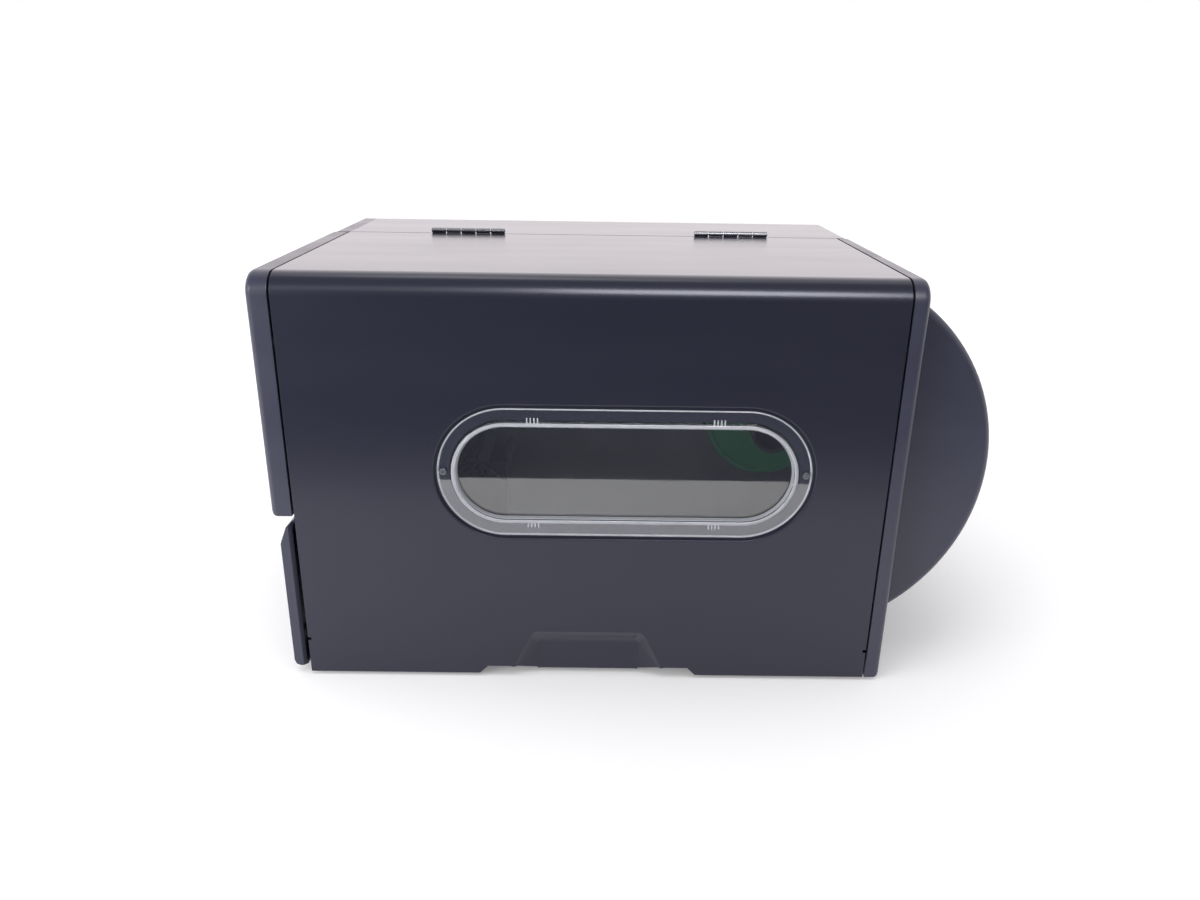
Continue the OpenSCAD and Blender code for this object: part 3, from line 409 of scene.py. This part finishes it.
# %% [markdown]
# ## Metals
# Bright sheet and turned parts are zinc-plated or ground steel, castings are aluminium, and the small
# gears and bearings are brass and bronze. Metals are told apart by tint and by the marks of making:
# rolled sheet has long streaks, ground rods have fine rings and castings a sandy skin.

# %% Metals
EVEN = (1.0, 1.0, 1.0)
ROLLED_X, ROLLED_Z = (0.2, 1.0, 1.0), (1.0, 1.0, 0.12)
TURNED = (1.0, 0.2, 1.0)

# name, two tints, least and most roughness, how the grain is stretched, and its width
metals = {
    "black_zinc": ("black zinc-plated steel", ("#828287", "#88888d"), (0.24, 0.3), ROLLED_X, 6.0),
    "grey_zinc": ("grey zinc-plated steel", ("#74767c", "#85878d"), (0.28, 0.4), EVEN, 1.2),
    "zinc_steel": ("zinc-plated steel sheet", ("#a9adb2", "#b8bbbf"), (0.3, 0.42), ROLLED_Z, 2.0),
    "ground_steel": ("ground steel rod", ("#b4b5b7", "#c3c4c6"), (0.16, 0.26), TURNED, 1.0),
    "cast_aluminium": ("die-cast aluminium", ("#8f9194", "#a0a2a5"), (0.45, 0.58), EVEN, 1.6),
    "brass": ("machined brass", ("#b8923f", "#c8a452"), (0.25, 0.36), TURNED, 1.0),
    "sintered_bronze": ("sintered bronze, oiled", ("#7d6140", "#8d7050"), (0.45, 0.55), EVEN, 0.8),
}
for slot, (name, tints, gloss, stretch, grain_w) in metals.items():
    made, tree, shader, place = start(name, Metallic=1.0)
    run = add(tree, "Mapping", {"Vector": place, "Scale": stretch})
    grain = add(tree, "TexNoise", {"Vector": run.outputs["Vector"], "Scale": per_mm(grain_w), "Detail": 3.0})
    vary(tree, shader, grain.outputs["Fac"], tints, grain.outputs["Fac"], gloss, MIDDLE_SPAN)
    skin = add(tree, "Bump", {"Height": grain.outputs["Fac"], "Strength": 0.12, "Distance": 0.04 * MM})
    tree.links.new(skin.outputs["Normal"], shader.inputs["Normal"])
    finishes[slot] = made
print(len(metals), "metals")

# %% [markdown]
# The base pan and the side plate are steel with a thinner black coat, and the platen and the feet are
# rubber. Rubber is nearly matt, with a dusty bloom.

# %% Painted frame and rubber
BLOOM = 20

# name, two tints, least and most roughness, and the width of the grain
coats = {
    "dark_painted_steel": ("black enamelled steel", ("#1c1c21", "#24242a"), (0.24, 0.34), 1.2),
    "rubber": ("black nitrile rubber, ground", ("#141415", "#1f1f20"), (0.65, 0.8), 0.7),
}
for slot, (name, tints, gloss, grain_w) in coats.items():
    made, tree, shader, place = start(name, IOR=1.5)
    grain = add(tree, "TexNoise", {"Vector": place, "Scale": per_mm(grain_w), "Detail": 3.0})
    bloom = add(tree, "TexNoise", {"Vector": place, "Scale": per_mm(BLOOM), "Detail": 2.0})
    vary(tree, shader, bloom.outputs["Fac"], tints, grain.outputs["Fac"], gloss, MIDDLE_SPAN)
    skin = add(tree, "Bump", {"Height": grain.outputs["Fac"], "Strength": 0.2, "Distance": 0.05 * MM})
    tree.links.new(skin.outputs["Normal"], shader.inputs["Normal"])
    finishes[slot] = made
print(len(coats), "dark coats")

# %% [markdown]
# Two finishes belong to the control panel: the display's dark window with the faint grid of its dots
# behind it, and the green light pipes. Dots in straight rows are a Voronoi pattern without randomness,
# and the pipes are a little milky.

# %% Display and light pipes
DOT, MILK = 0.9, 2

made, tree, shader, place = start("smoked acrylic over a dot display", IOR=1.49, Roughness=0.08)
dots = add(tree, "TexVoronoi", {"Vector": place, "Scale": per_mm(DOT), "Randomness": 0.0})
spread = add(tree, "MapRange", {"Value": dots.outputs["Distance"], "From Min": 0.3, "From Max": 0.45})
tint = add(tree, "Mix", {0: spread.outputs["Result"], 6: linear("#2c3a34"), 7: linear("#26332e")},
           data_type="RGBA")
tree.links.new(tint.outputs[2], shader.inputs["Base Color"])
finishes["display_glass"] = made
print(made.name)

made, tree, shader, place = start("green acrylic light pipe", IOR=1.49, Roughness=0.12)
milk = add(tree, "TexNoise", {"Vector": place, "Scale": per_mm(MILK), "Detail": 2.0})
tint = add(tree, "Mix", {0: milk.outputs["Fac"], 6: linear("#5f9a70"), 7: linear("#7fb08b")},
           data_type="RGBA")
tree.links.new(tint.outputs[2], shader.inputs["Base Color"])
finishes["light_pipe"] = made
print(made.name)

# %% [markdown]
# The circuit board is covered in green solder resist, and its copper runs show through as slightly
# lighter lines. The joints of a brick pattern give straight runs with a single node.

# %% Circuit board
RUNS, RESIST = 24, 30

made, tree, shader, place = start("green solder resist over copper", IOR=1.5)
runs = add(tree, "TexBrick", {"Vector": place, "Scale": per_mm(RUNS), "Mortar Size": 0.02,
                              "Color1": linear("#14532c"), "Color2": linear("#175a31"),
                              "Mortar": linear("#2b7a48")})
cloud = add(tree, "TexNoise", {"Vector": place, "Scale": per_mm(RESIST), "Detail": 2.0})
gloss = add(tree, "MapRange", {"Value": cloud.outputs["Fac"], "To Min": 0.3, "To Max": 0.45})
tree.links.new(runs.outputs["Color"], shader.inputs["Base Color"])
tree.links.new(gloss.outputs["Result"], shader.inputs["Roughness"])
finishes["circuit_board"] = made
print(len(finishes), "finishes in all")

# %% [markdown]
# ## Finishes onto the pieces
# Each piece takes the finish that its record names. The hinge leaves are dark plated steel, which
# mirrors more than an enamel would. The solids keep their meshes: only their material slots are filled.

# %% Paint the solids
PLATED = ("hinge_door_leaves", "hinge_fixed_leaves")


def paint(piece, material):
    """Gives a piece one finish all over."""
    piece.data.materials.clear()
    piece.data.materials.append(material)


for node, piece in nodes.items():
    paint(piece, finishes["black_zinc" if node in PLATED else slot_of[node]])
print("painted", len(nodes), "solids")

# %% [markdown]
# ## Eased edges
# No sheared sheet or moulding has a perfectly sharp edge, and the thin bright line along an eased
# edge is what makes it look solid. The finger pocket and the step round the window are pressed into
# the door's sheet, so their edges get a wider round than the rest. These tests pick them out by where
# an edge's two corners lie.

# %% Find the pressed edges
NEAR_ENOUGH = 0.2 * MM
POCKET_HALF, POCKET_D, POCKET_TOP, POCKET_FOOT = 62.5 * MM, 7 * MM, 42.5 * MM, 9.6 * MM
STEP_GAP = 2.2 * MM


def in_pocket(a, b):
    """True for an edge between two corners of the finger pocket, above the door's lower edge."""
    inside = all(abs(v.x - door_middle) < POCKET_HALF and v.z < POCKET_TOP for v in (a, b))
    return inside and max(a.z, b.z) > POCKET_FOOT


def pocket_rim(a, b):
    """True for an edge where the door's face turns into the pocket."""
    return in_pocket(a, b) and all(abs(v.y - door_low.y) < NEAR_ENOUGH for v in (a, b))


def pocket_floor(a, b):
    """True for an edge round the pocket's floor, or one that climbs from there to the rim."""
    backs = [v.y - door_low.y for v in (a, b)]
    outer = all(min(abs(back), abs(back - POCKET_D)) < NEAR_ENOUGH for back in backs)
    return in_pocket(a, b) and outer and not pocket_rim(a, b)


def step_edge(a, b):
    """True for an edge of the step round the window, on the door's face."""
    return all(abs(off_window(v) - STEP_GAP) + abs(v.y - door_low.y) < NEAR_ENOUGH for v in (a, b))


print("pocket", round(2 * POCKET_HALF / MM), "mm wide and", round(POCKET_D / MM), "mm deep")

# %% [markdown]
# A solid's own mesh stays as it is, so a copy stands in for it. The copy's loose triangles are merged
# and its flat areas joined again. The pressed edges are rounded first, then a Bevel modifier rounds
# every other hard edge, and a Weighted Normal modifier keeps the large faces flat in the light.

# %% Ease the edges of a copy
EDGE_ANGLE = math.radians(32)
FLAT_ANGLE = math.radians(0.5)
MERGE = 0.01 * MM
PRESS_SEGMENTS, EASE_SEGMENTS = 5, 2


def stand_in(piece, node):
    """Puts a piece in a solid's place: on the same body, with the solid hidden."""
    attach(piece, body_of[node])
    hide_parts(node)


def merged_copy(node):
    """A copy of one solid, selected alone, with its triangles joined into whole faces."""
    piece = bpy.data.objects.new(node + "_eased", nodes[node].data.copy())
    bpy.context.scene.collection.objects.link(piece)
    bpy.ops.object.select_all(action="DESELECT")
    bpy.context.view_layer.objects.active = piece
    piece.select_set(True)
    bpy.ops.mesh.customdata_custom_splitnormals_clear()
    bpy.ops.object.mode_set(mode="EDIT")
    bpy.ops.mesh.select_all(action="SELECT")
    bpy.ops.mesh.remove_doubles(threshold=MERGE)
    bpy.ops.mesh.dissolve_limited(angle_limit=FLAT_ANGLE)
    bpy.ops.mesh.select_mode(type="EDGE")
    bpy.ops.mesh.select_all(action="DESELECT")
    bpy.ops.object.mode_set(mode="OBJECT")
    return piece


def press(piece, test, radius):
    """Rounds the edges that a test picks out by this many millimetres."""
    for edge in piece.data.edges:
        edge.select = test(*(piece.data.vertices[v].co for v in edge.vertices))
    bpy.ops.object.mode_set(mode="EDIT")
    bpy.ops.mesh.bevel(offset=radius * MM, segments=PRESS_SEGMENTS, affect="EDGES")
    bpy.ops.mesh.select_all(action="DESELECT")
    bpy.ops.object.mode_set(mode="OBJECT")


def ease(piece, width):
    """Rounds all hard edges of the active piece by this many millimetres and keeps its flats flat."""
    bpy.ops.object.shade_smooth_by_angle(angle=EDGE_ANGLE)
    edge = piece.modifiers.new("eased edge", "BEVEL")
    edge.limit_method = "ANGLE"
    edge.angle_limit = EDGE_ANGLE
    edge.width = width * MM
    edge.segments = EASE_SEGMENTS
    edge.use_clamp_overlap = True
    bpy.ops.object.modifier_apply(modifier=edge.name)
    bpy.ops.object.shade_smooth_by_angle(angle=EDGE_ANGLE)
    flat = piece.modifiers.new("flat faces", "WEIGHTED_NORMAL")
    flat.keep_sharp = True
    bpy.ops.object.modifier_apply(modifier=flat.name)


print("hard edges are those over", round(math.degrees(EDGE_ANGLE)), "degrees")

# %% [markdown]
# Sheared sheet is eased least, mouldings more, and what a hand touches most. The door's pressed edges
# take their own rounds, in the order in which the tests are listed.

# %% Ease the pieces
FLOOR_R, RIM_R, STEP_R = 3.5, 0.8, 1.4
EASE = {
    0.35: ("door_panel", "electronics_cover", "rear_panel", "hinge_fixed_leaves", "hinge_door_leaves",
           "side_plate", "head_carrier", "media_deck", "thermal_head", "display_window", "usb_socket",
           "network_socket", "serial_port", "base_pan", "centre_plate"),
    0.6: ("door_front_cap", "door_rear_cap", "power_inlet", "switch_body", "control_panel",
          "roll_retainer", "roll_spindle", "takeup_spindle", "supply_spindle", "tear_bar"),
    1.0: ("lower_front_panel", "roll_hood", "media_guide", "head_lever", "power_rocker", "rubber_feet",
          "key_1", "key_2", "key_3", "key_4"),
}
PRESSED = {"door_panel": ((pocket_floor, FLOOR_R), (pocket_rim, RIM_R), (step_edge, STEP_R))}

for width, group in EASE.items():
    for node in group:
        piece = merged_copy(node)
        for test, radius in PRESSED.get(node, ()):
            press(piece, test, radius)
        ease(piece, width)
        stand_in(piece, node)
        print(node, len(piece.data.polygons), "faces, edges eased by", width, "mm")

# %% [markdown]
# ## Window
# The window is one moulding with the same wall all over, so it is built as a skin and thickened once.
# Its outline is a stadium. A filled circle with its halves pulled apart gives even round ends, which a
# bevelled rectangle would not.

# %% Window outline
SIDES = 96

bpy.ops.object.select_all(action="DESELECT")
bpy.ops.mesh.primitive_circle_add(vertices=SIDES, radius=lens_r, fill_type="NGON")
lens = bpy.context.object
lens.name = "clear_window"
lens.data.transform(Matrix.Rotation(math.radians(90), 4, "X") @ Matrix.Rotation(math.pi / SIDES, 4, "Z"))
bpy.ops.object.mode_set(mode="EDIT")
bpy.ops.mesh.select_mode(type="VERT")
for way in (-1, 1):
    bpy.ops.mesh.select_all(action="DESELECT")
    bpy.ops.object.mode_set(mode="OBJECT")
    for vert in lens.data.vertices:
        vert.select = way * vert.co.x > 0
    bpy.ops.object.mode_set(mode="EDIT")
    bpy.ops.transform.translate(value=(way * straight, 0, 0))
print("stadium", round(2 * (straight + lens_r) / MM), "x", round(2 * lens_r / MM), "mm")

# %% [markdown]
# Each inset offsets the outline by a step and lifts or sinks what is inside it: a chamfered edge, the
# flat flange, eight steps of the half-round ridge, and the short wall down to the pane. An inset keeps
# every step at the same distance from the edge, all the way round.

# %% Window flange, ridge and pane
FLANGE_FACE, CHAMFER = 0.5, 0.5
RIDGE_FOOT, RIDGE_W, RIDGE_H, RIDGE_STEPS = 10.1, 3.8, 1.8, 8
PANE_DROP, ROUND = 3.2, 0.2

steps = [(CHAMFER, CHAMFER), (RIDGE_FOOT - CHAMFER, 0)]
turns = [math.pi * k / RIDGE_STEPS for k in range(RIDGE_STEPS + 1)]
for a, b in zip(turns, turns[1:]):
    steps.append((RIDGE_W / 2 * (math.cos(a) - math.cos(b)), RIDGE_H * (math.sin(b) - math.sin(a))))
steps += [(ROUND, 0), (ROUND, -ROUND), (ROUND, 2 * ROUND - PANE_DROP), (ROUND, -ROUND)]
bpy.ops.mesh.select_mode(type="FACE")
bpy.ops.mesh.select_all(action="SELECT")
for thickness, depth in steps:
    bpy.ops.mesh.inset(thickness=thickness * MM, depth=depth * MM)
bpy.ops.object.mode_set(mode="OBJECT")
print("window skin", len(lens.data.polygons), "faces")

# %% [markdown]
# The chamfered edge and the crest of the ridge get the rim's finish, painted near-white for the light
# they give out, and the wall down to the pane its light grey, a painted highlight. They are found by how
# far they stand from the window's edge. A Solidify modifier then gives the wall its thickness, a hair
# less than the real one so that the flange and the steel behind it don't share a face.

# %% Window finish and thickness
CREST_W = 2.2
WALL_T = 1.9
PAINTED_RIM_SLOT, PAINTED_WALL_SLOT = 1, 2

paint(lens, finishes["clear_plastic"])
# The rim's finish is painted light, and the wall's grey is a painted highlight.
lens.data.materials.append(finishes["rim_painted_bright"])
lens.data.materials.append(finishes["wall_painted_highlight"])
for face in lens.data.polygons:
    inward = -off_window(face.center + lens_mid) / MM
    past_crest = inward - RIDGE_FOOT - RIDGE_W / 2
    on_crest = abs(past_crest) < CREST_W / 2
    on_wall = ROUND < past_crest - RIDGE_W / 2 < 4 * ROUND
    # The chamfer and crest take the painted bright rim, and the wall takes the painted-highlight grey.
    if inward < CHAMFER or on_crest:
        face.material_index = PAINTED_RIM_SLOT
    elif on_wall:
        face.material_index = PAINTED_WALL_SLOT

solid = lens.modifiers.new("solid wall", "SOLIDIFY")
solid.thickness = WALL_T * MM
solid.offset = -1
solid.use_even_offset = True
bpy.ops.object.modifier_apply(modifier=solid.name)
print("window wall", WALL_T, "mm,", len(lens.data.polygons), "faces")

# %% [markdown]
# Four groups of four small ribs sit on the ridge's outer foot, two groups above the pane and two below.
# Each rib is a block with bevelled edges, half sunk in the flange, and painted near-white as the rim is.

# %% Snap ribs
RIB_X, RIB_STEP, RIB_OUT, RIB_COUNT = 68, 2.6, 2.6, 4
RIB_W, RIB_L, RIB_H = 1.0, 4.8, 0.7
RIB_ROUND = RIB_W / 4

ribs = []
rib_z = lens_r - (RIDGE_FOOT + RIDGE_W / 2 - RIB_OUT) * MM
for group_x in (-RIB_X, RIB_X):
    for k in range(RIB_COUNT):
        rib_x = (group_x + RIB_STEP * (k - (RIB_COUNT - 1) / 2)) * MM
        for side in (-1, 1):
            bpy.ops.object.select_all(action="DESELECT")
            bpy.ops.mesh.primitive_cube_add(size=MM, location=(rib_x, -CHAMFER * MM, side * rib_z),
                                            scale=(RIB_W, 2 * RIB_H, RIB_L))
            rib = bpy.context.object
            bpy.ops.object.transform_apply(location=True, rotation=True, scale=True)
            bpy.ops.object.mode_set(mode="EDIT")
            bpy.ops.mesh.select_all(action="SELECT")
            bpy.ops.mesh.bevel(offset=RIB_ROUND * MM, segments=2)
            bpy.ops.object.mode_set(mode="OBJECT")
            # Each rib takes the rim's near-white colour, which is painted light.
            paint(rib, finishes["rim_painted_bright"])
            ribs.append(rib)
print(len(ribs), "ribs")

# %% [markdown]
# The ribs are joined to the window, and the whole is set in its step in the door. It throws no shadow
# and takes no part in bounced light, because the renderer would otherwise keep all light from the
# inside.

# %% Seat the window


def join(pieces):
    """Makes several pieces one, under the first one's name, and leaves it selected."""
    bpy.ops.object.select_all(action="DESELECT")
    for piece in pieces:
        piece.select_set(True)
    bpy.context.view_layer.objects.active = pieces[0]
    bpy.ops.object.join()
    return pieces[0]


join([lens] + ribs)
seat = door_low.y + (FLANGE_FACE + CHAMFER) * MM
lens.data.transform(Matrix.Translation((lens_mid.x, seat, lens_mid.z)))
bpy.ops.object.shade_smooth_by_angle(angle=EDGE_ANGLE)
lens.visible_shadow = False
lens.visible_diffuse = False
stand_in(lens, "window_lens")
print("window", len(lens.data.polygons), "faces with", len(ribs), "ribs")

# %% [markdown]
# ## Screws
# Two small screws hold the window and three hold the far cover. Each has a low rounded head. It starts
# as a cylinder: the shank is drawn out of its back face, and the rim of its front face is bevelled.

# %% Screw head and shank
SCREW_SIDES = 40
ROUND_SHARE, ROUND_SEGMENTS = 0.55, 4
SQUARE_ON = 0.9


def screw_blank(name, head_r, head_h, shank_r, shank_l):
    """A screw without its recess, in millimetres, whose head stands on the origin and faces up."""
    bpy.ops.object.select_all(action="DESELECT")
    bpy.ops.mesh.primitive_cylinder_add(vertices=SCREW_SIDES, radius=head_r * MM, depth=head_h * MM,
                                        location=(0, 0, head_h * MM / 2))
    screw = bpy.context.object
    screw.name = name
    bpy.ops.object.transform_apply(location=True)
    bpy.ops.object.mode_set(mode="EDIT")
    bpy.ops.mesh.select_mode(type="FACE")
    bpy.ops.mesh.select_all(action="DESELECT")
    bpy.ops.object.mode_set(mode="OBJECT")
    for face in screw.data.polygons:
        face.select = face.normal.z < -SQUARE_ON
    bpy.ops.object.mode_set(mode="EDIT")
    bpy.ops.mesh.inset(thickness=(head_r - shank_r) * MM)
    bpy.ops.mesh.extrude_region_move(TRANSFORM_OT_translate={"value": (0, 0, -shank_l * MM)})
    bpy.ops.object.mode_set(mode="OBJECT")
    for face in screw.data.polygons:
        face.select = face.normal.z > SQUARE_ON
    bpy.ops.object.mode_set(mode="EDIT")
    bpy.ops.mesh.bevel(offset=ROUND_SHARE * head_h * MM, segments=ROUND_SEGMENTS, affect="EDGES")
    bpy.ops.object.mode_set(mode="OBJECT")
    return screw


print("screw heads have", SCREW_SIDES, "sides")

# %% [markdown]
# The cross recess is cut by two crossed blades with a Boolean modifier. The finished screw is turned
# so that its head faces outwards, and moved to its place.

# %% Cross recess
BLADE_L, BLADE_W, BLADE_TURN = 1.15, 0.28, 20


def cut_cross(screw, head_r, head_h):
    """Cuts a cross into a screw's head, half as deep as the head is high."""
    for angle in (BLADE_TURN, BLADE_TURN + 90):
        bpy.ops.object.select_all(action="DESELECT")
        bpy.ops.mesh.primitive_cube_add(size=MM, location=(0, 0, head_h * MM),
                                        rotation=(0, 0, math.radians(angle)),
                                        scale=(BLADE_L * head_r, BLADE_W * head_r, head_h))
        blade = bpy.context.object
        recess = screw.modifiers.new("recess", "BOOLEAN")
        recess.operation = "DIFFERENCE"
        recess.object = blade
        bpy.context.view_layer.objects.active = screw
        bpy.ops.object.modifier_apply(modifier=recess.name)
        bpy.data.objects.remove(blade)


def cross_screw(name, place, tilt, sizes):
    """A finished screw whose head stands on a place, turned about X from facing up."""
    screw = screw_blank(name, **sizes)
    cut_cross(screw, sizes["head_r"], sizes["head_h"])
    screw.data.transform(Matrix.Rotation(math.radians(tilt), 4, "X"))
    screw.data.transform(Matrix.Translation(spot(*place)))
    screw.select_set(True)
    bpy.ops.object.shade_smooth_by_angle(angle=EDGE_ANGLE)
    paint(screw, finishes["grey_zinc"])
    return screw


print("recess blades turned by", BLADE_TURN, "degrees")

# %% [markdown]
# The screws stand where the solids have them. The box of those solids gives the two outer screws'
# places, one radius in from each end. The window's screws are solids with heads, so that radius is
# the head's.

# %% Window screws
TO_FRONT, TO_BACK = 90, -90
WINDOW_SCREW = {"head_r": 2.7, "head_h": 1.2, "shank_r": 1.25, "shank_l": 4.5}


def ends(node, radius):
    """The two outer places of a row of screws, in millimetres along the door, and the row's height."""
    low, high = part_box(node)
    xs = [(x - door_middle) / MM for x in (low.x + radius * MM, high.x - radius * MM)]
    return xs, (low.z + high.z) / 2 / MM


screw_xs, screw_z = ends("window_screws", WINDOW_SCREW["head_r"])
window_pair = join([cross_screw("window_screw", (x, FLANGE_FACE, screw_z), TO_FRONT, WINDOW_SCREW)
                    for x in screw_xs])
window_pair.name = "window_screw_pair"
stand_in(window_pair, "window_screws")
print("window screws at", [round(x, 1) for x in screw_xs], "mm")

# %% [markdown]
# The cover's screws face the other way, and a third one stands between the outer two. Their solids end
# flush with the sheet, so the radius is the shank's, and the heads are added outside.

# %% Cover screws
COVER_SCREW = {"head_r": 3.6, "head_h": 1.9, "shank_r": 2.0, "shank_l": 1.5}

cover_face = (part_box("cover_screws")[1].y - door_low.y) / MM
cover_xs, cover_z = ends("cover_screws", COVER_SCREW["shank_r"])
cover_xs.insert(1, 0.0)
cover_set = join([cross_screw("cover_screw", (x, cover_face, cover_z), TO_BACK, COVER_SCREW)
                  for x in cover_xs])
cover_set.name = "cover_screw_set"
stand_in(cover_set, "cover_screws")
print("cover screws at", [round(x, 1) for x in cover_xs], "mm")

# %% [markdown]
# ## Finish
# Colours are shown as they are written, with the Standard view.

# %% Show colours as written
bpy.context.scene.view_settings.view_transform = "Standard"
